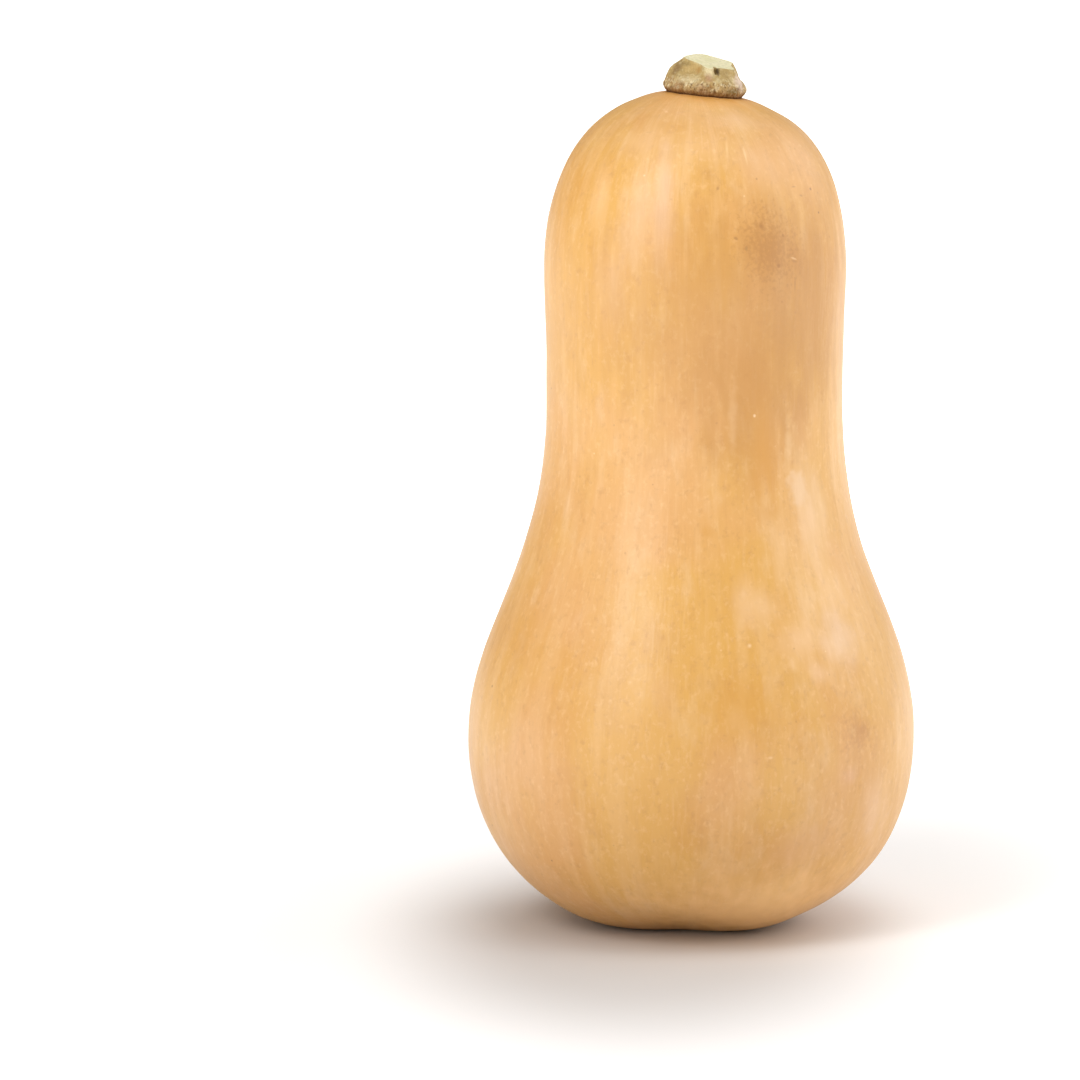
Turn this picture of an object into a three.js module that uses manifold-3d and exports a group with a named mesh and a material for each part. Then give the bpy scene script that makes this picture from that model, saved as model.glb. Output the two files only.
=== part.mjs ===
// A whole butternut squash, standing on its blossom end: the fruit, with a round seed bulb below and
// a thick solid neck above, and the corky stub of the stem that it was cut from.
//
// Millimetres, +Z up. The origin is the centre of the small flat spot that the fruit stands on, and
// the front is the -Y side. Angles round the fruit run from +X towards +Y, so the front is at -90.
import * as THREE from "three";
import { mergeVertices } from "three/addons/utils/BufferGeometryUtils.js";
import Module from "manifold-3d";

const wasm = await Module();
wasm.setup();

// ---- Driving dimensions of the fruit -------------------------------------------------------------

// The outline is three girths joined by smooth curves. Each girth has a radius, a height, and how
// far the outline runs straight down and straight up from it before it turns.
const BULB = { radius: 62.8, height: 52.7, below: 34, above: 33.4 };
const WAIST = { radius: 41.4, height: 146.7, below: 49.6, above: 29.1 };
const CROWN = { radius: 42.2, height: 181.6, below: 7.8, above: 34 };

// The flat spot underneath and the top of the dome, each with how far the outline runs level there.
const FOOT = { radius: 19.5, reach: 20.5 };
const TOP = { height: 232.6, reach: 29.5 };

// What growing does to the turned shape. Depths that are shares are shares of the local radius.
const AXIS_LEAN = 1.2; // sideways shift of the top of the axis, towards +X
const DEPTH_LOSS = 0.025; // the share by which the fruit is thinner front to back than side to side
const BELLY = { out: 1.5, spread: 42 }; // the bulb's fuller back, and how far up and down it reaches
const RIBS = { count: 10, share: 0.0045 }; // faint ribs from end to end
const TOP_TILT = { right: 0.085, back: 0.04, spread: 22 }; // slopes down towards +X and +Y at the top

// Valleys between the lobes of the blossom end, which die out a little way above the foot. Angles and
// widths in degrees, sizes in shares of the local radius.
const VALLEY_RISE = 8;
const VALLEYS = [
  { angle: -97, width: 31, size: 0.27 },
  { angle: -24, width: 16, size: 0.07 },
  { angle: 40, width: 20, size: 0.14 },
  { angle: 112, width: 22, size: 0.2 },
  { angle: 172, width: 16, size: 0.1 },
];

// ---- Driving dimensions of the stem --------------------------------------------------------------

// The stem stands off the axis, square to the tilted top. Between its ridges, its flank is a smooth
// curve through these radii and heights above the fruit's top: a swollen collar, then the stalk.
const STEM_OFFSET = 3.2;
const STEM_SINK = 0.4; // how far its zero height lies below the top of the fruit
const STEM_FLANK = [
  { radius: 10.6, height: -4 },
  { radius: 11.2, height: 0 },
  { radius: 11.4, height: 1.3 },
  { radius: 10.9, height: 2.6 },
  { radius: 9.6, height: 3.9 },
  { radius: 7.8, height: 5.1 },
  { radius: 6.7, height: 6.6 },
  { radius: 6.1, height: 8.8 },
  { radius: 6, height: 13 },
];

// Five ridges run down the stalk and spread on to the collar. They stand out furthest at one height.
// Angles and widths in degrees, sizes in millimetres.
const RIDGE_BAND = { height: 6, below: 2.4, above: 3.1 };
const RIDGES = [
  { angle: -168, width: 23, size: 3.8 },
  { angle: -91, width: 15, size: 2.5 },
  { angle: -29, width: 15, size: 1.8 },
  { angle: 36, width: 18, size: 2.9 },
  { angle: 112, width: 20, size: 2.5 },
];
const STALK_LEAN = 0.1; // how far the stalk leans towards +X for each millimetre up
const STEM_THINNING = 0.9; // the stem's depth, front to back, as a share of its width
const TOES = { count: 11, out: 0.35, height: 1.4, rise: 1.9 }; // lumps round the collar

// The knife's cut: its height on the stem's axis, its fall in degrees towards +X and towards the
// front, and the side of the block that it takes away.
const CUT = { height: 8.8, fallRight: 7.3, fallFront: 12.5, block: 40 };

// A split in the cork, beside the front ridge: a lens that stands at a reach from the stem's axis.
const SPLIT = {
  angle: -69,
  reach: 7,
  height: 6.5,
  halfWidth: 0.45,
  halfHeight: 1.5,
  depth: 1.8,
  slant: -8,
};

// ---- Fineness of the faceted solids --------------------------------------------------------------

const FRUIT_SIDES = 80;
const FRUIT_ROW = 6.5; // length of outline to a row of faces
const STEM_SIDES = 60;
const STEM_ROW = 1;
const SPLIT_SIDES = 12;
const FIT_GAP = 0.3; // between the fruit and the stem

const radians = THREE.MathUtils.degToRad;
const degrees = THREE.MathUtils.radToDeg;
const bell = (distance, spread) => Math.exp(-((distance / spread) ** 2));

// How large the rounded forms in a row round the axis are together, at an angle.
function sizeAt(angle, row) {
  let size = 0;
  for (const form of row) {
    const turn = THREE.MathUtils.euclideanModulo(angle - radians(form.angle) + Math.PI, 2 * Math.PI);
    size += form.size * bell(turn - Math.PI, radians(form.width));
  }
  return size;
}

// Points along a run of curves, a whole number of rows to each curve, so that their ends are kept.
function pointsAlong(curves, row) {
  const points = [curves[0].getPoint(0)];
  for (const curve of curves) {
    const rows = Math.max(1, Math.round(curve.getLength() / row));
    points.push(...curve.getSpacedPoints(rows).slice(1));
  }
  return points;
}

// One vertex to each place, whatever the normals there.
function joined(geometry) {
  const bare = geometry.clone();
  bare.deleteAttribute("normal");
  bare.deleteAttribute("uv");
  return mergeVertices(bare, 1e-4);
}

// Between three.js's geometries and manifold-3d's solids.
function toManifold(geometry) {
  const { index, attributes } = joined(geometry);
  return new wasm.Manifold(
    new wasm.Mesh({
      numProp: 3,
      vertProperties: new Float32Array(attributes.position.array),
      triVerts: new Uint32Array(index.array),
    }),
  );
}

function toGeometry(manifold) {
  const { vertProperties, triVerts } = manifold.getMesh();
  const geometry = new THREE.BufferGeometry();
  geometry.setAttribute("position", new THREE.BufferAttribute(vertProperties, 3));
  geometry.setIndex(new THREE.BufferAttribute(triVerts, 1));
  geometry.computeVertexNormals();
  return geometry;
}

// A solid turned about +Z from an outline of (radius, height) points that starts and ends on the
// axis, with every point then moved by shape(point).
function turned(outline, sides, shape) {
  const geometry = joined(new THREE.LatheGeometry(outline, sides).rotateX(Math.PI / 2));
  const position = geometry.getAttribute("position");
  const point = new THREE.Vector3();
  for (let i = 0; i < position.count; i += 1) {
    shape(point.fromBufferAttribute(position, i));
    position.setXYZ(i, point.x, point.y, point.z);
  }
  return toManifold(geometry);
}

// ---- Fruit: one piece, rind and flesh grown together ---------------------------------------------

function fruitOutline() {
  const path = new THREE.Path();
  path.moveTo(0, 0);
  path.lineTo(FOOT.radius, 0);
  path.bezierCurveTo(
    FOOT.radius + FOOT.reach, 0,
    BULB.radius, BULB.height - BULB.below,
    BULB.radius, BULB.height,
  );
  path.bezierCurveTo(
    BULB.radius, BULB.height + BULB.above,
    WAIST.radius, WAIST.height - WAIST.below,
    WAIST.radius, WAIST.height,
  );
  path.bezierCurveTo(
    WAIST.radius, WAIST.height + WAIST.above,
    CROWN.radius, CROWN.height - CROWN.below,
    CROWN.radius, CROWN.height,
  );
  path.bezierCurveTo(
    CROWN.radius, CROWN.height + CROWN.above,
    TOP.reach, TOP.height,
    0, TOP.height,
  );
  return pointsAlong(path.curves, FRUIT_ROW);
}

// Moves a point of the turned shape to where it grew. Heights stay as they are below the crown, so
// the foot stays flat.
function growFruit(point) {
  const angle = Math.atan2(point.y, point.x);
  const radius = Math.hypot(point.x, point.y);
  const height = point.z;
  const valleys = sizeAt(angle, VALLEYS) * bell(height, VALLEY_RISE);
  const ribs = Math.sin(RIBS.count * angle) * Math.sin((Math.PI * height) / TOP.height);
  const thinning = DEPTH_LOSS * Math.sin(angle) ** 2;
  const scale = 1 - valleys + RIBS.share * ribs - thinning;
  const belly = BELLY.out * Math.max(0, Math.sin(angle)) * bell(height - BULB.height, BELLY.spread);
  point.x = point.x * scale + (AXIS_LEAN * height) / TOP.height;
  point.y = point.y * scale + belly;
  const dome = THREE.MathUtils.smoothstep(height, CROWN.height, TOP.height);
  const fall = TOP_TILT.right * point.x + TOP_TILT.back * point.y;
  point.z = height - dome * fall * bell(radius, TOP_TILT.spread);
}

function makeFruit() {
  return turned(fruitOutline(), FRUIT_SIDES, growFruit);
}

// ---- Stem: the corky stub, cut across with a knife -----------------------------------------------

function stemOutline() {
  const first = STEM_FLANK[0];
  const last = STEM_FLANK[STEM_FLANK.length - 1];
  const flank = STEM_FLANK.map(({ radius, height }) => new THREE.Vector2(radius, height));
  return [
    new THREE.Vector2(0, first.height),
    ...pointsAlong([new THREE.SplineCurve(flank)], STEM_ROW),
    new THREE.Vector2(0, last.height),
  ];
}

// Raises the ridges of the stalk and the toes of the collar.
function growStem(point) {
  const angle = Math.atan2(point.y, point.x);
  const radius = Math.hypot(point.x, point.y);
  if (radius < 1) return; // the two poles
  const above = point.z - RIDGE_BAND.height;
  const ridges = sizeAt(angle, RIDGES) * bell(above, above > 0 ? RIDGE_BAND.above : RIDGE_BAND.below);
  const toes = TOES.out * Math.cos(TOES.count * angle) * bell(point.z - TOES.height, TOES.rise);
  const scale = 1 + (ridges + toes) / radius;
  point.x = point.x * scale + STALK_LEAN * Math.max(0, point.z);
  point.y *= scale * STEM_THINNING;
}

// A thin lens that opens the split, from the stalk's surface inwards.
function splitCutter() {
  return new THREE.SphereGeometry(1, SPLIT_SIDES, SPLIT_SIDES / 2)
    .scale(SPLIT.depth, SPLIT.halfWidth, SPLIT.halfHeight)
    .rotateX(radians(SPLIT.slant))
    .translate(SPLIT.reach, 0, SPLIT.height)
    .rotateZ(radians(SPLIT.angle));
}

// Everything above the knife's cut.
function knifeCutter() {
  return new THREE.BoxGeometry(CUT.block, CUT.block, CUT.block)
    .translate(0, 0, CUT.block / 2)
    .rotateY(radians(CUT.fallRight))
    .rotateX(radians(CUT.fallFront))
    .translate(0, 0, CUT.height);
}

// The stem stands off the fruit's axis and square to its tilted top, and its underside follows the
// fruit, FIT_GAP above it.
function makeStem(fruit) {
  return turned(stemOutline(), STEM_SIDES, growStem)
    .subtract(toManifold(knifeCutter()))
    .subtract(toManifold(splitCutter()))
    .rotate([-degrees(Math.atan(TOP_TILT.back)), degrees(Math.atan(TOP_TILT.right)), 0])
    .translate([STEM_OFFSET, 0, TOP.height - STEM_SINK])
    .subtract(fruit.translate([0, 0, FIT_GAP]));
}

// ---- The squash ----------------------------------------------------------------------------------

function named(name, solid, material) {
  const mesh = new THREE.Mesh(toGeometry(solid), material);
  mesh.name = name;
  return mesh;
}

const rind = new THREE.MeshStandardMaterial({ color: 0xe3ad6a, roughness: 0.5, metalness: 0 });
const cork = new THREE.MeshStandardMaterial({ color: 0xb09b6c, roughness: 0.9, metalness: 0 });

const fruit = makeFruit();
const squash = new THREE.Group();
squash.add(named("fruit", fruit, rind));
squash.add(named("stem", makeStem(fruit), cork));

export default squash;
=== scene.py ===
import math

import bpy
import numpy as np
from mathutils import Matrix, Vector, noise
from mathutils.bvhtree import BVHTree


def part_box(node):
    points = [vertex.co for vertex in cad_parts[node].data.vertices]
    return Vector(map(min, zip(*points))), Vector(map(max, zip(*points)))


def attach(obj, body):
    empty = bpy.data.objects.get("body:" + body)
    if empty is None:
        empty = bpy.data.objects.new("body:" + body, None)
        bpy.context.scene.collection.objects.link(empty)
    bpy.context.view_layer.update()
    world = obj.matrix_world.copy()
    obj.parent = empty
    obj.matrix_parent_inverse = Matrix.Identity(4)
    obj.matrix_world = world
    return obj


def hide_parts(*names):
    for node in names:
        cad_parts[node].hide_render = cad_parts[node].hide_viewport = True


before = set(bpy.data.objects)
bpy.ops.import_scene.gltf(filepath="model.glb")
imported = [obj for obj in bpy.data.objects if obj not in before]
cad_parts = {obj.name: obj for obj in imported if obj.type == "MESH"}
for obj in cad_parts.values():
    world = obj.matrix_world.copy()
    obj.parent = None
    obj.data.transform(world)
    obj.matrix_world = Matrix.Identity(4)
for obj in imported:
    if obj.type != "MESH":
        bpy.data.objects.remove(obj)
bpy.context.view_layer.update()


# ---- Camera --------------------------------------------------------------------------------------
# A long lens a little over two metres away and nine degrees above the level. The squash stands right
# of the middle of the frame.

VIEW_TILT = math.radians(9)
VIEW_DISTANCE = 2.2
VIEW_FIELD = 0.3  # width of the field at the squash
VIEW_CENTRE = Vector((-0.0419, 0, 0.1073))
VIEW_END = 50  # well past the edge of the floor
SENSOR_MM = 36


def aim(holder, target):
    """Turns a camera or a light so that it looks at a point."""
    holder.rotation_euler = (target - holder.location).to_track_quat("-Z", "Y").to_euler()


back = Vector((0, -math.cos(VIEW_TILT), math.sin(VIEW_TILT)))
bpy.ops.object.camera_add(location=VIEW_CENTRE + VIEW_DISTANCE * back)
camera = bpy.context.object
camera.name = "camera"
camera.data.sensor_width = SENSOR_MM
camera.data.lens = SENSOR_MM * VIEW_DISTANCE / VIEW_FIELD
camera.data.clip_end = VIEW_END
aim(camera, VIEW_CENTRE)
bpy.context.scene.camera = camera


# ---- Rind ----------------------------------------------------------------------------------------
# The hard ripe skin over solid flesh, grown in one piece from the blossom end to the stem. It is
# smooth and waxy, tan and clouded, with faint streaks that run from end to end along its growth.

MM = 0.001
SWELLS = [  # unevenness of the grown surface: name, size across, depth
    ("slow_swell", 34 * MM, 0.9 * MM),
    ("knobs", 11 * MM, 0.16 * MM),
]
FOOT_RISE = 9 * MM  # the swells fade out over this height above the surface that it stands on
SEAT_INNER, SEAT_OUTER = 12 * MM, 20 * MM  # and between these distances from the stem
SCAR_RADIUS = 11.5 * MM  # the scar that the blossom left, in the middle of the foot
SCAR_EDGE = 0.75  # the share of that radius where its rim starts
SCAR_DEPTH = 0.7 * MM
SCAR_SINK, SCAR_LUMPS, SCAR_CRACKING = 0.55, 0.25, 0.35  # what each takes of that depth
SCAR_LUMP = 2.2 * MM
SCAR_BLOTCH = 0.3  # how much the lumps vary its colour
SCAR_CRACKS, CRACK_TWIST, CRACK_SHARPNESS = 9, 9, 8  # how many, how strongly they curl, how thin


def only(piece):
    """Selects one piece and nothing else, and makes it the active one."""
    bpy.ops.object.select_all(action="DESELECT")
    piece.select_set(True)
    bpy.context.view_layer.objects.active = piece


def modify(piece, kind, **settings):
    """Adds a modifier and applies it."""
    modifier = piece.modifiers.new(kind.lower(), kind)
    for name, value in settings.items():
        setattr(modifier, name, value)
    only(piece)
    bpy.ops.object.modifier_apply(modifier=modifier.name)


def copy_of(node, name):
    """A new piece with the node's mesh, its loose triangles joined and its faces made four-sided."""
    piece = bpy.data.objects.new(name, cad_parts[node].data.copy())
    bpy.context.scene.collection.objects.link(piece)
    piece.data.materials.clear()
    only(piece)
    bpy.ops.mesh.customdata_custom_splitnormals_clear()
    bpy.ops.object.mode_set(mode="EDIT")
    bpy.ops.mesh.select_all(action="SELECT")
    bpy.ops.mesh.remove_doubles(threshold=0.01 * MM)
    bpy.ops.mesh.tris_convert_to_quads()
    bpy.ops.object.mode_set(mode="OBJECT")
    return piece


def points_of(piece, what="co"):
    """The piece's vertices, or their normals, as rows of x, y and z."""
    found = np.zeros(len(piece.data.vertices) * 3, np.float32)
    piece.data.vertices.foreach_get(what, found)
    return found.reshape(-1, 3)


def place_points(piece, points):
    """Moves the piece's vertices to these rows of x, y and z."""
    piece.data.vertices.foreach_set("co", points.astype(np.float32).ravel())
    piece.data.update()


def step(value, low, high):
    """A smooth step from 0 to 1 as a value goes from low to high."""
    share = np.clip((value - low) / (high - low), 0, 1)
    return share * share * (3 - 2 * share)


def field(points, across, along=None):
    """A soft random field between about -1 and 1, with lumps of a size across and along +Z."""
    stretch = Vector((1 / across, 1 / across, 1 / (along or across)))
    return np.array([noise.noise(Vector(point) * stretch) for point in points.tolist()])


def keep_map(piece, name, values):
    """Keeps a value or a row for each vertex, for the piece's material to read."""
    kind, key = ("FLOAT", "value") if values.ndim == 1 else ("FLOAT_VECTOR", "vector")
    kept_map = piece.data.attributes.new(name, kind, "POINT")
    kept_map.data.foreach_set(key, values.astype(np.float32).ravel())


rind = copy_of("fruit", "rind")
modify(rind, "SUBSURF", levels=2)
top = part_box("fruit")[1]
stem_low, stem_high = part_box("stem")
seat = (stem_low + stem_high) / 2

skin = points_of(rind)
from_stem = np.hypot(skin[:, 0] - seat.x, skin[:, 1] - seat.y)
from_stem[skin[:, 2] < top.z / 2] = SEAT_OUTER
free = step(skin[:, 2], 0, FOOT_RISE) * step(from_stem, SEAT_INNER, SEAT_OUTER)
free_skin = rind.vertex_groups.new(name="free_skin")
for index, share in enumerate(free.tolist()):
    free_skin.add([index], share, "REPLACE")
for swell_name, across, depth in SWELLS:
    relief = bpy.data.textures.new(swell_name, "CLOUDS")
    relief.noise_scale = across
    relief.noise_depth = 1
    modify(rind, "DISPLACE", texture=relief, strength=depth, mid_level=1, vertex_group="free_skin")

# The blossom scar is sunk a little into the foot, lumpy, and cracked outwards from its middle.
skin = points_of(rind)
reach = np.hypot(skin[:, 0], skin[:, 1])
turn = np.arctan2(skin[:, 1], skin[:, 0])
under = skin[:, 2] < FOOT_RISE
sunk = np.where(under, 1 - step(reach, SCAR_EDGE * SCAR_RADIUS, SCAR_RADIUS), 0)
twist = CRACK_TWIST * reach / SCAR_RADIUS
cracks = np.abs(np.cos(SCAR_CRACKS / 2 * turn + twist)) ** CRACK_SHARPNESS * sunk
lumps = field(skin, SCAR_LUMP)
skin[:, 2] += SCAR_DEPTH * sunk * (SCAR_SINK + SCAR_LUMPS * lumps + SCAR_CRACKING * cracks)
place_points(rind, skin)
keep_map(rind, "scar", sunk * (1 + SCAR_BLOTCH * lumps))
bpy.ops.object.shade_smooth()

# The growth map: a place on the skin as a turn round the axis, drawn on a circle of one radius, and
# a distance along the skin from end to end. Streaks that follow it meet at the stem and at the foot.
GROWTH_RADIUS = 45 * MM
CROWN_HEIGHT = 186 * MM
BULB_HEIGHT = 53 * MM

up = skin[:, 2]
dome = top.z - CROWN_HEIGHT
over = np.clip((up - CROWN_HEIGHT) / dome, 0, 1)
below = np.clip((BULB_HEIGHT - up) / BULB_HEIGHT, 0, 1)
along = np.clip(up, BULB_HEIGHT, CROWN_HEIGHT) + dome * np.arcsin(over) - BULB_HEIGHT * np.arcsin(below)
circle_x, circle_y = GROWTH_RADIUS * np.cos(turn), GROWTH_RADIUS * np.sin(turn)
keep_map(rind, "growth", np.stack([circle_x, circle_y, along], 1))


def linear(hex_colour):
    """An sRGB colour such as E3AD6A as linear red, green, blue and alpha."""
    parts = [int(hex_colour[i : i + 2], 16) / 255 for i in (0, 2, 4)]
    return [p / 12.92 if p <= 0.04045 else ((p + 0.055) / 1.055) ** 2.4 for p in parts] + [1]


def new_material(name):
    """A new node material, and the surface shader that it starts with."""
    material = bpy.data.materials.new(name)
    material.use_nodes = True
    return material, material.node_tree.nodes["Principled BSDF"]


def add(tree, kind, inputs, **settings):
    """Adds a node with its settings. An input is a value, or a node or an output to link."""
    made = tree.nodes.new(kind)
    for name, value in settings.items():
        setattr(made, name, value)
    for name, value in inputs.items():
        if isinstance(value, bpy.types.Node):
            value = value.outputs[0]
        if isinstance(value, bpy.types.NodeSocket):
            tree.links.new(value, made.inputs[name])
        else:
            made.inputs[name].default_value = value
    return made


def stain(tree, ground, where, colour, start, full, most):
    """Lays a colour over the ground, from nothing to its most as a field goes from start to full."""
    depth = add(
        tree,
        "ShaderNodeMapRange",
        {"Value": where, "From Min": start, "From Max": full, "To Min": 0, "To Max": most},
        interpolation_type="SMOOTHSTEP",
    )
    return add(tree, "ShaderNodeMixRGB", {"Fac": depth, "Color1": ground, "Color2": linear(colour)})


# Ripe tan rind: ochre clouded with pink, paler where the dry waxy bloom lies, with fine streaks, small
# specks, and rubs and scratches from handling; painted shade, highlights and reflections are laid into its
# colour too. It shines softly, less so where the bloom is thick.
rind_skin, shader = new_material("waxy_squash_rind")
tree = rind_skin.node_tree
place = add(tree, "ShaderNodeTexCoord", {}).outputs["Object"]
grown = add(tree, "ShaderNodeAttribute", {}, attribute_name="growth").outputs["Vector"]
RIND_GROUND = "D9A454"
RIND_SHIFT = (3.7, 5.3, 7.9)  # how far apart the random fields are taken, so that no two are alike
RIND_TINTS = [
    # what it is, the map it follows, its size in millimetres across and along, detail and roughness
    # of its edges, the levels of its random field where it starts and is full, its most, its colour
    ("ochre_cloud", place, 26, 34, 4, 0.55, 0.46, 0.64, 0.6, "D3994B"),
    ("pink_flush", place, 40, 60, 3, 0.5, 0.5, 0.7, 0.4, "DDA676"),
    ("tan_cloud", place, 13, 17, 4, 0.6, 0.5, 0.72, 0.3, "C99557"),
    ("growth_band", grown, 5, 60, 3, 0.5, 0.48, 0.7, 0.26, "E9BE88"),
    ("bloom", grown, 9, 24, 6, 0.62, 0.5, 0.74, 0.34, "EAC79B"),
    ("light_streak", grown, 1.1, 9, 3, 0.6, 0.53, 0.76, 0.16, "F0CB97"),
    ("dark_streak", grown, 1.3, 8, 3, 0.6, 0.53, 0.76, 0.15, "BC8549"),
    ("light_mottle", place, 1.6, 2.1, 4, 0.65, 0.5, 0.75, 0.35, "EDC48C"),
    ("dark_mottle", place, 2.2, 2.6, 4, 0.65, 0.52, 0.75, 0.36, "BE874C"),
]
ground = linear(RIND_GROUND)
fields = {}
for seed, (tint, follows, across, long, detail, rough, start, full, most, colour) in enumerate(RIND_TINTS):
    spread = add(
        tree,
        "ShaderNodeMapping",
        {
            "Vector": follows,
            "Location": [shift * seed for shift in RIND_SHIFT],
            "Scale": (1 / (across * MM), 1 / (across * MM), 1 / (long * MM)),
        },
    )
    fields[tint] = add(
        tree, "ShaderNodeTexNoise", {"Vector": spread, "Scale": 1, "Detail": detail, "Roughness": rough}
    )
    ground = stain(tree, ground, fields[tint], colour, start, full, most)

# Patches of the skin that are paler, pinker, browner or more ochre, as this squash grew and was handled,
# and patches of painted light and shade: painted shade over the neck and waist, a painted highlight on the
# left of the neck, painted reflections on the right of the waist and bulb, and painted light over the foot.
# They are broad and soft, so they are laid on the points of the mesh: how much of the fine colour stays
# there, and the colour that is laid over it.
RIND_PATCHES = [
    # what it is, its place in millimetres, half its size across and along, lean in degrees, how soft
    # its edge is from 0 to 1, its most, its colour
    ("stem_flush", (3, 0, 232), 27, 9, 0, 0.9, 0.5, "E69F50"),
    ("crown_band", (-14.6, -18.8, 226.9), 3.5, 9, 12, 1, 0.4, "CF9046"),
    ("crown_bloom", (17, -30, 216), 14, 11, 0, 1, 0.45, "E6B88A"),
    ("crown_pale", (12, -20, 226), 10, 5, 10, 1, 0.5, "ECC08F"),
    ("crown_pale", (-14, -26, 222), 12, 8, -10, 1, 0.4, "E9BD8C"),
    # The next four pale patches on the left of the neck are a painted highlight of the left softbox.
    ("left_bloom_and_highlight", (-8, -37, 205), 4.5, 26, 2, 1, 0.65, "DFB48C"),
    ("left_bloom_and_highlight", (-15, -37, 200), 9, 20, 4, 1, 0.35, "DFB38A"),
    ("left_bloom_and_highlight", (-25.5, -27.2, 206), 4, 14, 8, 1, 0.5, "EDC18D"),
    ("left_bloom_and_highlight", (-22, -34, 184), 8, 20, 0, 1, 0.35, "E2B78D"),
    ("middle_ochre", (6, -41, 188), 16, 26, 0, 1, 0.45, "D2994D"),
    # The next five darker patches are painted shade over the front of the neck and the waist.
    ("broad_neck_shade", (8, -32, 174), 60, 44, 0, 0.8, 0.44, "B27B2E"),
    ("neck_shade", (22, -35, 190), 17, 30, 0, 1, 0.42, "C4904F"),
    ("neck_shade", (34, -21, 178), 16, 42, 0, 1, 0.6, "BE8642"),
    ("neck_shade", (22, -36, 158), 26, 30, 0, 1, 0.52, "BC8236"),
    ("waist_shade", (15, -38, 142), 18, 22, 0, 1, 0.48, "B88038"),
    ("smudge_cloud", (23, -34, 190), 15, 25, 0, 1, 0.22, "B67D3A"),
    ("smudge", (20.1, -36, 194.3), 7, 10, -25, 1, 0.15, "B37A3C"),
    ("smudge", (23.7, -34.4, 189), 3.6, 5.5, -25, 1, 0.16, "AA7234"),
    ("smudge", (27.5, -31.5, 190), 3, 5.5, -20, 0.9, 0.2, "B47C40"),
    ("ochre_waist", (19.2, -36.6, 137), 5.5, 22, 0, 1, 0.75, "CF9444"),
    ("ochre_waist", (21, -36.6, 120.5), 4.6, 5, 0, 0.9, 0.6, "CF9444"),
    # The pale patches on the right of the waist are partly bloom and rubs, and partly a painted reflection
    # of the right softboxes.
    ("waist_bloom_and_reflection", (30.5, -31, 126), 5, 16, 0, 1, 0.55, "E7BE8C"),
    ("waist_bloom_and_reflection", (34.9, -25.9, 122), 3, 13, -8, 1, 0.4, "EBC593"),
    ("waist_bloom_and_reflection", (23.6, -39, 110), 3.4, 17, 0, 1, 0.5, "E9BF89"),
    ("pale_rub", (31, -31, 117), 4, 11, -6, 0.9, 0.45, "E8BF90"),
    ("waist_bloom_and_reflection", (34, -30, 112), 6, 17, 0, 1, 0.45, "ECC596"),
    # The pale patches on the right of the bulb are partly bloom and partly a painted reflection of the
    # right softboxes.
    ("bulb_bloom", (38, -33, 98), 9, 12, 0, 1, 0.4, "EFC797"),
    ("bulb_bloom", (28, -45, 87), 12, 8, 0, 1, 0.6, "EABF8D"),
    ("bulb_bloom", (37.4, -39.8, 84), 6, 8, 0, 1, 0.42, "EEC798"),
    ("bulb_bloom", (41, -36, 86), 11, 12, 0, 1, 0.5, "E6C3A2"),
    ("bulb_bloom", (34.5, -46.1, 78.1), 7, 4.5, 20, 1, 0.42, "EEC79C"),
    ("pale_centre", (13.9, -47.2, 98), 5, 12, 0, 1, 0.5, "E8BC88"),
    ("pale_centre", (18.5, -46, 96), 9, 9, 0, 1, 0.45, "EAC192"),
    ("pale_centre", (11, -58.3, 68.4), 3.4, 6, 0, 1, 0.5, "E8BC88"),
    ("ochre_bulb", (13.2, -57.4, 70.7), 16, 11, 0, 1, 0.6, "D59C47"),
    ("pink_side", (-8, -58.1, 74), 5, 12, 0, 1, 0.35, "D8A677"),
    ("pink_low", (29.2, -49.7, 29.4), 16, 12, 0, 1, 0.4, "DBA678"),
    ("brown_rub", (46.2, -40.8, 60.8), 6, 4, 0, 1, 0.34, "C08440"),
    ("pink_patch", (43.2, -44.2, 48.9), 4, 4.5, 0, 1, 0.45, "DFAF8A"),
    # This pale patch on the lower right rim is partly a painted reflection of the white floor.
    ("bulb_bloom", (50, -34, 36), 8, 18, 0, 1, 0.5, "E8C09A"),
    # A broad pale band over the foot: painted light, standing in for light thrown up from the floor.
    ("foot_painted_light", (18, -43, 7), 50, 25, 0, 1, 0.8, "FFCE8C"),
    ("back_bloom", (10.7, 40, 186), 14, 24, 0, 1, 0.4, "E6BE92"),
    ("back_tan", (-13.8, 37.9, 150), 20, 24, 0, 1, 0.4, "C0883F"),
    ("back_ochre", (-3.9, 44.4, 112), 14, 20, 0, 1, 0.5, "D09546"),
    ("back_bloom", (25.5, 44.2, 95), 12, 15, 0, 1, 0.5, "EAC293"),
    ("back_bloom", (-29, 50.2, 78), 14, 12, 20, 1, 0.5, "EAC092"),
    ("back_ochre", (10.9, 61.6, 60), 18, 13, 0, 1, 0.5, "D29A48"),
    ("back_tan", (-44, 44, 50), 12, 9, 0, 1, 0.35, "BE8846"),
    ("left_bloom_and_highlight", (-37.4, 21.6, 120), 8, 18, 0, 1, 0.5, "E8BF8E"),
    ("left_tan", (-38.4, 14, 190), 16, 30, 0, 1, 0.35, "C08C4A"),
    ("left_ochre", (-40.7, -3.6, 165), 14, 26, 0, 1, 0.4, "D09848"),
    ("left_bloom_and_highlight", (-49.1, 0, 100), 12, 14, 0, 1, 0.45, "E9C08F"),
    ("left_ochre", (-61.3, 10.8, 50), 16, 13, 0, 1, 0.4, "D29A4A"),
    ("right_bloom", (36.1, 20.8, 150), 9, 20, 0, 1, 0.4, "E8C090"),
    ("right_ochre", (54.3, 19.8, 80), 13, 16, 0, 1, 0.4, "D29A4A"),
]
PATCH_RAG = 0.8  # how far the ragged edges of the patches reach in and out
PATCH_BAY = 3.2 * MM  # the width of the bays in those edges
BAY_DEPTH, SMALL_BAY_DEPTH = 0.25, 0.12  # shares of that reach; the small bays are half as wide

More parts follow.
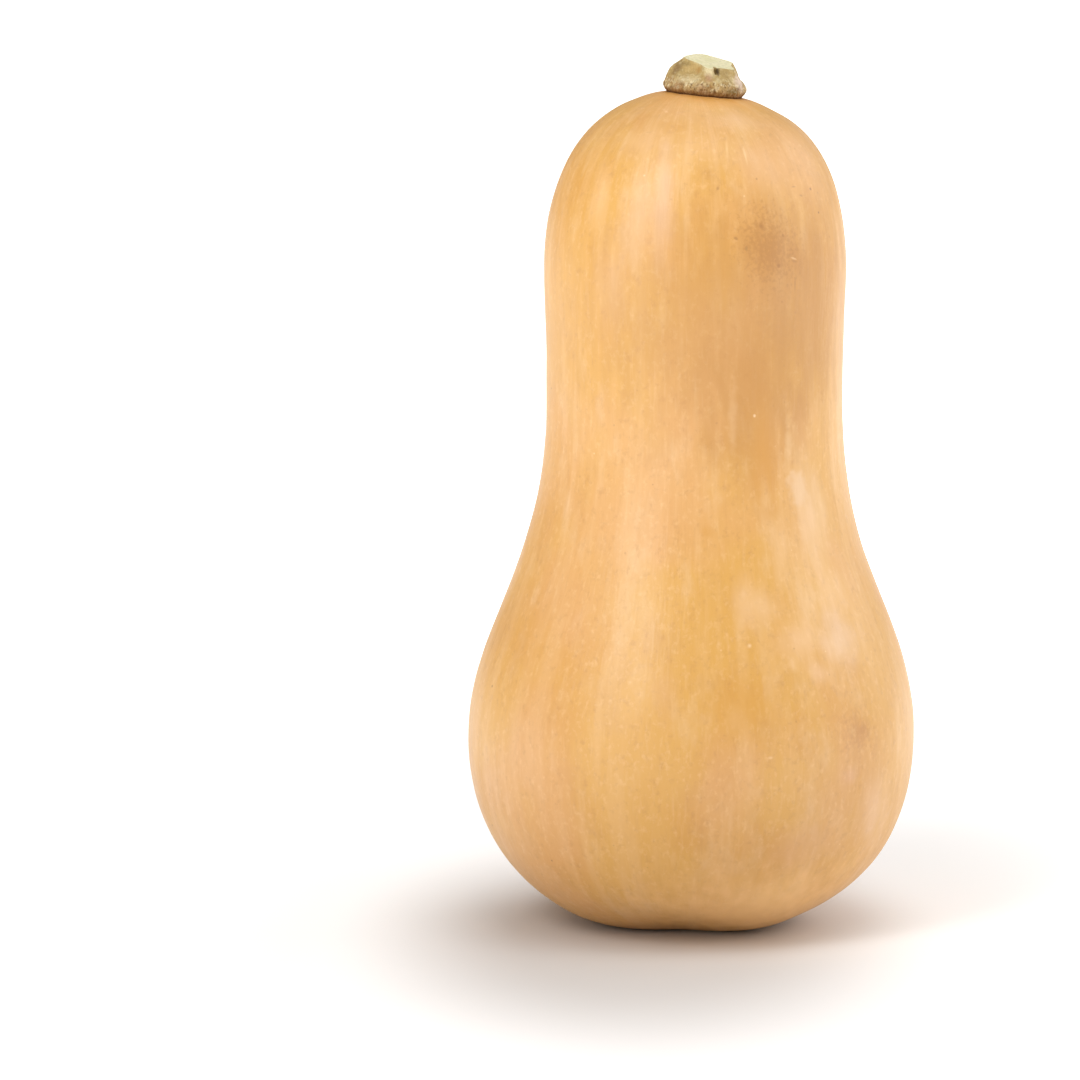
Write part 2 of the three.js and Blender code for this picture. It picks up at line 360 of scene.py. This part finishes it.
bays = field(skin, PATCH_BAY, 3 * PATCH_BAY)
small_bays = field(skin, PATCH_BAY / 2, 2 * PATCH_BAY)
ragged = 0.5 + BAY_DEPTH * bays + SMALL_BAY_DEPTH * small_bays
edge = 1 + PATCH_RAG / 2
kept = np.ones(len(skin))
laid = np.zeros((len(skin), 3))
for _, centre, across, long, lean, soft, most, colour in RIND_PATCHES:
    lean = math.radians(lean)
    off = skin / MM - np.array(centre)
    sideways = (off[:, 0] * math.cos(lean) - off[:, 2] * math.sin(lean)) / across
    lengthways = (off[:, 0] * math.sin(lean) + off[:, 2] * math.cos(lean)) / long
    inwards = off[:, 1] / max(across, long)
    far = np.sqrt(sideways**2 + lengthways**2 + inwards**2) + PATCH_RAG * ragged
    share = most * step(far, edge, edge - soft)
    kept *= 1 - share
    laid += (np.array(linear(colour)[:3]) - laid) * share[:, None]
keep_map(rind, "patch_kept", kept)
keep_map(rind, "patch_laid", laid)
kept_map = add(tree, "ShaderNodeAttribute", {}, attribute_name="patch_kept").outputs["Fac"]
laid_map = add(tree, "ShaderNodeAttribute", {}, attribute_name="patch_laid").outputs["Vector"]
ground = add(
    tree, "ShaderNodeVectorMath", {0: ground, 1: kept_map, 2: laid_map}, operation="MULTIPLY_ADD"
)

# Small marks are given in the same way and drawn in the material. A mark is no deeper than it is
# large, so each is moved from its place in the list to the nearest point of the skin.
MARK_RAG, MARK_BAY = 1.1, 3.2 * MM
RIND_MARKS = [
    ("smudge", (18.4, -36.1, 198.7), 2.6, 3.4, -10, 0.9, 0.2, "A8743E"),
    ("speck", (6.4, -36.4, 209.7), 0.6, 0.7, 0, 0.8, 0.42, "9C6636"),
    ("speck", (11.3, -38.8, 196.3), 1, 0.6, 30, 0.8, 0.5, "93602F"),
    ("speck", (18.4, -36, 199.3), 0.9, 1.1, 0, 0.9, 0.5, "A06C3C"),
    ("speck", (23.4, -34.7, 188.2), 0.7, 0.8, 0, 0.8, 0.5, "965F33"),
    ("speck", (16.8, -31.5, 211.5), 0.5, 0.5, 0, 0.7, 0.5, "A8723F"),
    ("speck", (32.4, -21.7, 208), 0.5, 0.5, 0, 0.6, 0.6, "96623A"),
    ("speck", (34.6, -21.7, 201.4), 0.45, 0.45, 0, 0.6, 0.65, "855428"),
    ("speck", (27.5, -26.5, 209.1), 1.4, 0.4, 0, 0.8, 0.45, "A06E42"),
    ("speck", (29.4, -25.2, 206.4), 0.8, 0.4, 20, 0.8, 0.4, "A06E42"),
    ("scratch", (27.6, -31.5, 189.9), 1.6, 0.32, 25, 0.7, 0.36, "F0CFA0"),
    ("scratch", (27.8, -31.4, 189.1), 1.6, 0.35, 22, 0.7, 0.5, "A8743F"),
    ("fleck", (9, -29.8, 220.4), 0.6, 5, 0, 1, 0.3, "F4D39C"),
    ("fleck", (14.1, -30, 218.2), 0.5, 4.2, -14, 1, 0.42, "F7DAA8"),
    ("fleck", (-7.5, -18.4, 229.1), 1.2, 0.4, 20, 0.8, 0.4, "F2C795"),
    ("waist_strip", (10.7, -39.3, 146), 1.9, 16, 0, 1, 0.3, "E4BB8A"),
    # The pale rubs on the right of the waist are partly a painted reflection of the right softboxes.
    ("pale_rub", (28.9, -31.2, 126.9), 3.8, 6.6, -8, 0.6, 0.46, "E6C49E"),
    ("pale_rub", (26.5, -32.1, 139), 1.6, 12, 0, 1, 0.36, "E8C492"),
    # A small pale patch on the right of the bulb, partly a painted reflection of the right softboxes.
    ("bulb_bloom", (27.5, -49.4, 80.6), 2.2, 3, 0, 1, 0.4, "F0CA9B"),
    ("pale_patch", (13.5, -46.6, 100), 1.6, 2.6, 0, 0.9, 0.55, "E9C08D"),
    ("ochre_spot", (3.6, -43.3, 116.3), 3.2, 2.6, 0, 1, 0.5, "D29747"),
    ("brown_rub", (47.1, -39.8, 61.5), 2.2, 2, 0, 1, 0.2, "B0763E"),
    ("dot", (16.7, -37.4, 147.4), 0.5, 0.6, 0, 0.8, 0.6, "F3D7AE"),
    ("dot", (20.9, -57.7, 56.4), 1.2, 0.6, 0, 0.8, 0.45, "F0CC9B"),
    ("dot", (15.2, -51.6, 86.5), 0.9, 1, 0, 1, 0.6, "F3D3A4"),
    ("dot", (7.3, -53.4, 85.5), 0.5, 0.5, 0, 0.8, 0.45, "F0CD9C"),
    ("speck", (14.3, -38.4, 193.5), 0.6, 1, 0, 0.7, 0.5, "9A7040"),
    ("speck", (24.5, -33, 196.4), 0.5, 0.5, 0, 0.6, 0.5, "9C6636"),
    ("speck", (28.1, -31.3, 182.5), 0.35, 2.6, 0, 0.8, 0.5, "AA743C"),
    ("speck", (24.5, -34, 178.2), 0.6, 0.6, 0, 0.7, 0.45, "A8703C"),
    ("back_strip", (1.4, 40.6, 138), 1.8, 13, 0, 0.9, 0.5, "E8C294"),
]
FRECKLE_RAG, FRECKLE_BAY = 3, 1.1 * MM
RIND_FRECKLES = [  # patches whose edges are so ragged that they break up into freckles
    ("back_freckles", (-25, 31.9, 172), 9, 12, 15, 1, 0.35, "B07A3E"),
    ("back_freckles", (22.4, 55.6, 72), 8, 6, 0, 1, 0.3, "B47C42"),
    ("smudge_freckles", (21, -36, 193), 10, 14, -20, 1, 0.36, "A26C34"),
    ("neck_freckles", (25, -33, 176), 9, 14, 0, 1, 0.2, "B98648"),
    ("bulb_freckles", (45, -41, 61), 9, 8, 0, 1, 0.22, "B47C42"),
]


rind_surface = BVHTree.FromObject(rind, bpy.context.evaluated_depsgraph_get())


def on_skin(marks):
    """The same marks, each moved to the nearest point of the skin."""
    moved = []
    for mark, centre, *look in marks:
        nearest = rind_surface.find_nearest(Vector(centre) * MM)[0]
        moved.append((mark, nearest / MM, *look))
    return moved


def lay_marks(tree, place, ground, marks, rag, bay):
    """Lays a list of marks on the ground. Each is drawn in space, so it bends with the surface."""
    ragged = add(tree, "ShaderNodeTexNoise", {"Vector": place, "Scale": 1 / bay, "Detail": 4})
    edge = 1 + rag / 2
    for mark, centre, across, long, lean, soft, most, colour in marks:
        centred = add(
            tree,
            "ShaderNodeMapping",
            {
                "Vector": place,
                "Location": [distance * MM for distance in centre],
                "Rotation": (0, math.radians(lean), 0),
                "Scale": (across * MM, max(across, long) * MM, long * MM),
            },
            vector_type="TEXTURE",
            label=mark,
        )
        reach = add(tree, "ShaderNodeVectorMath", {0: centred}, operation="LENGTH").outputs["Value"]
        far = add(tree, "ShaderNodeMath", {0: ragged, 1: rag, 2: reach}, operation="MULTIPLY_ADD")
        ground = stain(tree, ground, far, colour, edge, edge - soft, most)
    return ground


ground = lay_marks(tree, place, ground, on_skin(RIND_MARKS), MARK_RAG, MARK_BAY)
ground = lay_marks(tree, place, ground, RIND_FRECKLES, FRECKLE_RAG, FRECKLE_BAY)

# Small round specks. Each lies in its own cell of a random lattice, and only some cells have one.
RIND_SPECKS = [
    # what it is, the size of its cells in millimetres, the share of them that hold one, its most and
    # its colour. The share times the cell is also the radius of the largest.
    ("dark_speck", 5.5, 0.1, 0.6, "97622F"),
    ("pale_speck", 4.5, 0.1, 0.55, "F0CF9E"),
    ("brown_freckle", 3.1, 0.16, 0.3, "AE7A43"),
]
for speck, cell, share, most, colour in RIND_SPECKS:
    cells = add(tree, "ShaderNodeTexVoronoi", {"Vector": place, "Scale": 1 / (cell * MM)}, label=speck)
    drawn = add(tree, "ShaderNodeSeparateColor", {"Color": cells.outputs["Color"]}).outputs["Red"]
    size = add(tree, "ShaderNodeMath", {0: cells.outputs["Distance"], 1: drawn}, operation="SUBTRACT")
    ground = stain(tree, ground, size, colour, share - 1, share / 2 - 1, most)

SCAR_BROWN, SCAR_START, SCAR_FULL, SCAR_MOST = "96703F", 0.1, 0.9, 0.85
scar_map = add(tree, "ShaderNodeAttribute", {}, attribute_name="scar").outputs["Fac"]
ground = stain(tree, ground, scar_map, SCAR_BROWN, SCAR_START, SCAR_FULL, SCAR_MOST)
tree.links.new(ground.outputs[0], shader.inputs["Base Color"])

# Plant wax has an index of about 1.45. It is set higher here, for the polish of a handled skin.
SKIN_IOR = 1.62
WAX_ROUGHNESS, BLOOM_ROUGHNESS = 0.4, 0.5
BLOOM_THIN, BLOOM_THICK = 0.45, 0.75  # levels of the bloom's field between which the skin turns dull
dull = add(
    tree,
    "ShaderNodeMapRange",
    {
        "Value": fields["bloom"],
        "From Min": BLOOM_THIN,
        "From Max": BLOOM_THICK,
        "To Min": WAX_ROUGHNESS,
        "To Max": BLOOM_ROUGHNESS,
    },
)
tree.links.new(dull.outputs[0], shader.inputs["Roughness"])
shader.inputs["IOR"].default_value = SKIN_IOR

# The skin's own relief is hundredths of a millimetre deep: grain along its growth, and pores. Real
# pores are finer than a render shows, so these are drawn more than a millimetre apart.
GRAIN_WIDTH, GRAIN_LENGTH, GRAIN_DEPTH = 0.8 * MM, 8 * MM, 0.07 * MM
PORE, PORE_DEPTH = 1.3 * MM, 0.04 * MM
grain = add(
    tree,
    "ShaderNodeMapping",
    {"Vector": grown, "Scale": (1 / GRAIN_WIDTH, 1 / GRAIN_WIDTH, 1 / GRAIN_LENGTH)},
)
grain = add(tree, "ShaderNodeTexNoise", {"Vector": grain, "Scale": 1, "Detail": 3})
pores = add(tree, "ShaderNodeTexNoise", {"Vector": place, "Scale": 1 / PORE, "Detail": 3})
bump = add(tree, "ShaderNodeBump", {"Height": grain, "Distance": GRAIN_DEPTH, "Strength": 1})
bump = add(tree, "ShaderNodeBump", {"Height": pores, "Distance": PORE_DEPTH, "Strength": 1, "Normal": bump})
tree.links.new(bump.outputs[0], shader.inputs["Normal"])

rind.data.materials.append(rind_skin)
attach(rind, "root")
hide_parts("fruit")


# ---- Stem stub -----------------------------------------------------------------------------------
# What is left of the stalk that the squash hung from: hard dry cork with a few blunt ridges, spread
# into rounded toes where it joins the fruit. A knife cut it across, and the cut has dried pale.

SEAT_REACH = 0.6 * MM  # points nearer to the rind than this belong to the stub's seat
SEAT_DEPTH = 0.9 * MM  # and they reach this far down into the skin that grew round it
CORK_VOXEL = 0.2 * MM
COLLAR_HEIGHT, COLLAR_BLEND = 3.6 * MM, 1.5 * MM  # where crumbly cork gives way to long fibres
CUT_HEIGHT, CUT_BLEND = 5 * MM, 1 * MM  # faces that look up are the knife's cut where they lie above this
CUT_FACING = (0.86, 0.95)  # how far up they look, as the height of their normal
CRUMB, FIBRE = (0.9 * MM, 1.2 * MM), (0.7 * MM, 5 * MM)  # their size across and along
CRACK_WIDTH, CRACK_DEPTH = 0.3, 0.1 * MM  # the width is a share of a crumb or a fibre
FIBRE_SHARE = 0.5  # what the cracks between fibres have of the depth of those between crumbs
LUMP, SMALL_LUMP = (2.3 * MM, 3.2 * MM), 1.1 * MM
LUMP_DEPTH = 0.3 * MM
SMALL_LUMP_SHARE = 0.4  # what the small lumps have of that depth
FLANK_LUMPS = 0.25  # and the flank above the collar
TUCK_DEPTH, TUCK_HEIGHT = 0.8 * MM, 1.7 * MM  # how far the toes curl under, and how high up


def above_rind(points):
    """How far each point lies outside the rind. It is negative inside."""
    nearest = [rind_surface.find_nearest(Vector(point)) for point in points.tolist()]
    return np.array([(Vector(p) - hit[0]).dot(hit[1]) for p, hit in zip(points.tolist(), nearest)])


def cracks_in(points, across, along, width):
    """Rises from 0 inside random cells of this size to 1 in the cracks between them."""
    stretch = Vector((1 / across, 1 / across, 1 / along))
    nearest = [noise.voronoi(Vector(point) * stretch)[0] for point in points.tolist()]
    return 1 - step(np.array([cells[1] - cells[0] for cells in nearest]), 0, width)


stem = copy_of("stem", "stem_stub")
cork = points_of(stem)
cork[above_rind(cork) < SEAT_REACH, 2] -= SEAT_DEPTH
place_points(stem, cork)
modify(stem, "REMESH", mode="VOXEL", voxel_size=CORK_VOXEL)
modify(stem, "SMOOTH", factor=0.5, iterations=7)

cork = points_of(stem)
facing = points_of(stem, "normal")
rise = above_rind(cork)
cut = step(facing[:, 2], *CUT_FACING) * step(rise, CUT_HEIGHT, CUT_HEIGHT + CUT_BLEND)
collar = 1 - step(rise, COLLAR_HEIGHT - COLLAR_BLEND, COLLAR_HEIGHT + COLLAR_BLEND)
crumbs = cracks_in(cork, *CRUMB, CRACK_WIDTH)
fibres = cracks_in(cork, *FIBRE, CRACK_WIDTH)
cracked = (collar * crumbs + FIBRE_SHARE * (1 - collar) * fibres) * (1 - cut)
lumps = field(cork, *LUMP) + SMALL_LUMP_SHARE * field(cork, SMALL_LUMP)
lumps = lumps * (FLANK_LUMPS + (1 - FLANK_LUMPS) * collar) * (1 - cut)
cork += facing * (LUMP_DEPTH * lumps - CRACK_DEPTH * cracked)[:, None]
outwards = (cork[:, :2] - seat.xy) / np.linalg.norm(cork[:, :2] - seat.xy, axis=1)[:, None]
cork[:, :2] -= outwards * (TUCK_DEPTH * (1 - step(rise, 0, TUCK_HEIGHT)))[:, None]
place_points(stem, cork)
modify(stem, "SMOOTH", factor=0.5, iterations=1)
keep_map(stem, "rise", rise)
keep_map(stem, "cut", cut)
keep_map(stem, "cracked", cracked)
bpy.ops.object.shade_smooth()

# Dry cork: dull and crumbly, brown with cream flecks on the toes, olive in the hollows, straw pale where it
# was cut, and painted shade at its foot where it sits on the rind.
cork_skin, shader = new_material("dry_corky_stalk")
tree = cork_skin.node_tree
place = add(tree, "ShaderNodeTexCoord", {}).outputs["Object"]
CORK_TINTS = [
    # what it is, its size in millimetres across and along, where it starts and is full, its most and
    # its colour
    ("brown_patch", 3, 3.4, 0.46, 0.62, 0.55, "8C6531"),
    ("cream_patch", 2.2, 2.8, 0.5, 0.66, 0.5, "D3BF90"),
    ("pink_patch", 4, 4, 0.55, 0.68, 0.4, "B58F72"),
    ("cream_fleck", 0.8, 1.1, 0.5, 0.66, 0.66, "E8D9B2"),
    ("dark_fleck", 0.8, 1.1, 0.52, 0.7, 0.75, "5C3D18"),
]
CORK_MARKS = [
    # what it is, its place in millimetres, half its size across and along, lean in degrees, how soft
    # its edge is from 0 to 1, its most, its colour
    ("dish", (0.2, -4.6, 239.2), 4, 2.8, 0, 0.7, 0.8, "BA9C62"),
    ("cut_rim", (1.6, -4.4, 240.8), 3.2, 1.1, 22, 1, 0.6, "D6C898"),
    ("dish_rust", (1.8, -5.8, 238.3), 1.6, 1.8, 0, 1, 0.75, "A67A3C"),
    ("dish_shade", (-1.4, -3.4, 240.3), 2.2, 1.1, 10, 1, 0.7, "8E794A"),
    ("left_edge", (-4.2, -3, 239), 1.6, 3.6, 35, 0.9, 0.65, "6E5230"),
    ("left_brown", (-6, -5, 237), 2, 2.6, 20, 1, 0.6, "8A6A3C"),
    ("ridge_pale", (4, -6, 239.6), 1.8, 2.6, 0, 1, 0.8, "CDBD8C"),
    ("ridge_cream", (4.6, -7.3, 238.7), 2.1, 3.1, 0, 0.8, 0.85, "E2D2A6"),
    ("slit_hollow", (8.8, -4.9, 238), 2.2, 1.9, 0, 0.8, 0.8, "A88F5E"),
    ("slit_shadow", (6.8, -5.6, 238.3), 0.9, 2, 0, 0.8, 0.9, "33220A"),
    ("pink_foot", (4.3, -9, 236.9), 1.9, 2, 0, 1, 0.7, "AD8467"),
    ("cream_left", (-0.8, -8, 236.3), 4.8, 1.6, 0, 1, 0.62, "E0CEA2"),
    ("cream_middle", (7.4, -8.6, 236.2), 1.6, 1.2, 0, 1, 0.45, "DCCB9F"),
    ("brown_left", (-4, -8, 234.4), 3.4, 1.6, 0, 1, 0.4, "926A30"),
    ("brown_middle", (3.8, -10.2, 234), 4, 1.6, 0, 1, 0.5, "8E6428"),
    ("cream_right", (11.2, -6.2, 236.2), 1.5, 1.8, 0, 1, 0.55, "D9C99C"),
    ("olive_right", (11, -7.2, 233), 3.2, 1.4, 0, 1, 0.75, "6C5012"),
    ("pink_toe", (13, -4.3, 235.3), 2.2, 4.2, -8, 0.8, 0.88, "DEC8B6"),
]
CUT_TINTS = [  # the same for the cut, with one size for both ways
    ("grey_fibre", 0.9, 0.46, 0.66, 0.45, "C3BC98"),
    ("straw_cloud", 3.2, 0.45, 0.62, 0.5, "D2CB98"),
]
CORK_RAG, CORK_BAY = 0.9, 1.1 * MM
CORK_GROUND = "B39460"
CORK_SHIFT = (2.3, 6.1, 4.7)
ground = linear(CORK_GROUND)
for seed, (tint, across, long, start, full, most, colour) in enumerate(CORK_TINTS):
    spread = add(
        tree,
        "ShaderNodeMapping",
        {
            "Vector": place,
            "Location": [shift * seed for shift in CORK_SHIFT],
            "Scale": (1 / (across * MM), 1 / (across * MM), 1 / (long * MM)),
        },
    )
    cloud = add(tree, "ShaderNodeTexNoise", {"Vector": spread, "Scale": 1, "Detail": 3}, label=tint)
    ground = stain(tree, ground, cloud, colour, start, full, most)
rise_map = add(tree, "ShaderNodeAttribute", {}, attribute_name="rise").outputs["Fac"]
cracked_map = add(tree, "ShaderNodeAttribute", {}, attribute_name="cracked").outputs["Fac"]
cut_map = add(tree, "ShaderNodeAttribute", {}, attribute_name="cut").outputs["Fac"]
UNDER_MARKS = [  # the map it follows, where it starts and is full, its most and its colour
    (rise_map, 3 * MM, 5.5 * MM, 0.6, "B0985F"),  # the straw-coloured flank
    # Darker brown towards the rind: the brown of the toes, and painted shade where they curve under.
    (rise_map, 2.4 * MM, 0.5 * MM, 0.66, "784A12"),  # the brown toes
]
OVER_MARKS = [
    (cracked_map, 0.1, 1, 0.35, "573A18"),  # darker brown in the cracks
    # Painted shade: the dark line in the crease where the stub sits on the rind.
    (rise_map, 0.9 * MM, 0.1 * MM, 0.95, "4A2604"),  # the dark line where it sits on the rind
    (cut_map, 0, 0.9, 0.94, "E4DCB6"),  # the dried cut
]
for follows, start, full, most, colour in UNDER_MARKS:
    ground = stain(tree, ground, follows, colour, start, full, most)
ground = lay_marks(tree, place, ground, CORK_MARKS, CORK_RAG, CORK_BAY)
for follows, start, full, most, colour in OVER_MARKS:
    ground = stain(tree, ground, follows, colour, start, full, most)
for tint, across, start, full, most, colour in CUT_TINTS:
    cloud = add(tree, "ShaderNodeTexNoise", {"Vector": place, "Scale": 1 / (across * MM)}, label=tint)
    cloud = add(tree, "ShaderNodeMath", {0: cloud, 1: cut_map}, operation="MULTIPLY")
    ground = stain(tree, ground, cloud, colour, start, full, most)
tree.links.new(ground.outputs[0], shader.inputs["Base Color"])
CORK_ROUGHNESS, CORK_SHINE = 0.8, 0.3
shader.inputs["Roughness"].default_value = CORK_ROUGHNESS
shader.inputs["Specular IOR Level"].default_value = CORK_SHINE
GRIT, GRIT_DEPTH = 0.45 * MM, 0.15 * MM
grit = add(tree, "ShaderNodeTexNoise", {"Vector": place, "Scale": 1 / GRIT, "Detail": 3})
bump = add(tree, "ShaderNodeBump", {"Height": grit, "Distance": GRIT_DEPTH, "Strength": 1})
tree.links.new(bump.outputs[0], shader.inputs["Normal"])

stem.data.materials.append(cork_skin)
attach(stem, "root")
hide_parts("stem")


# ---- Floor and studio light ----------------------------------------------------------------------
# A white floor that runs out of sight and glows with painted light, soft lights on both sides and above,
# and a white room.
# None of it is part of the squash.

FLOOR_SIDE = 16
FLOOR_WHITE, FLOOR_ROUGHNESS, FLOOR_SHINE = "D8D4D1", 0.9, 0.1
GLOW_CENTRE = (-0.015, -0.03, 0)  # the floor's glow is weakest here, a little in front of the squash
GLOW_STRETCH = (1, 2, 1)
GLOW_RINGS = [(0.03, 0.09, 0.4), (0.09, 0.3, 0.8)]  # distance where each starts and is full, its strength
LAMP_DISTANCE = 1.8
LAMPS = [  # name, turn from the camera's side and height in degrees, size, watts
    ("left_softbox", -40, 28, (0.5, 1.5), 12.7),
    ("left_high_softbox", -40, 50, (0.5, 1), 5.8),
    ("right_softbox", 80, 20, (0.8, 1.2), 5.1),
    ("right_side_softbox", 104, 22, (0.8, 1.2), 4.3),
    ("right_back_softbox", 128, 25, (0.8, 1.2), 5),
    ("top_softbox", 20, 75, (1.2, 0.8), 9),
    ("top_back_softbox", 180, 65, (1.2, 0.8), 4.2),
]
ROOM = 0.27  # white light that comes from the room on all sides

bpy.ops.object.select_all(action="DESELECT")
bpy.ops.mesh.primitive_plane_add(size=FLOOR_SIDE)
floor = bpy.context.object
floor.name = "floor"
# A white floor with a painted glow that turns it pure white away from what stands on it; where the glow is
# weakest, a little in front of the squash, the floor is a painted shadow.
white, shader = new_material("white_floor_painted_glow")
tree = white.node_tree
place = add(tree, "ShaderNodeTexCoord", {}).outputs["Object"]
place = add(
    tree,
    "ShaderNodeMapping",
    {"Vector": place, "Location": GLOW_CENTRE, "Scale": GLOW_STRETCH},
    vector_type="TEXTURE",
)
reach = add(tree, "ShaderNodeVectorMath", {0: place}, operation="LENGTH").outputs["Value"]
glow = 0
for start, full, strength in GLOW_RINGS:
    ring = {"Value": reach, "From Min": start, "From Max": full, "To Max": strength}
    ring = add(tree, "ShaderNodeMapRange", ring, interpolation_type="SMOOTHSTEP")
    glow = add(tree, "ShaderNodeMath", {0: ring, 1: glow}, operation="ADD")
tree.links.new(glow.outputs[0], shader.inputs["Emission Strength"])
shader.inputs["Emission Color"].default_value = (1, 1, 1, 1)
shader.inputs["Base Color"].default_value = linear(FLOOR_WHITE)
shader.inputs["Roughness"].default_value = FLOOR_ROUGHNESS
shader.inputs["Specular IOR Level"].default_value = FLOOR_SHINE
floor.data.materials.append(white)

LIT = Vector((0, 0, 0.12))  # what the lamps are aimed at
for lamp_name, side, height, size, watts in LAMPS:
    side, height = math.radians(side), math.radians(height)
    level = math.cos(height)
    way = Vector((math.sin(side) * level, -math.cos(side) * level, math.sin(height)))
    bpy.ops.object.light_add(type="AREA", location=LIT + LAMP_DISTANCE * way)
    lamp = bpy.context.object
    lamp.name = lamp_name
    lamp.data.shape = "RECTANGLE"
    lamp.data.size, lamp.data.size_y = size
    lamp.data.energy = watts
    aim(lamp, LIT)

world = bpy.data.worlds.new("white_room")
world.use_nodes = True
tree = world.node_tree
tree.nodes["Background"].inputs["Strength"].default_value = ROOM
tree.nodes["Background"].inputs["Color"].default_value = (1, 1, 1, 1)
bpy.context.scene.world = world
bpy.context.scene.view_settings.view_transform = "Standard"
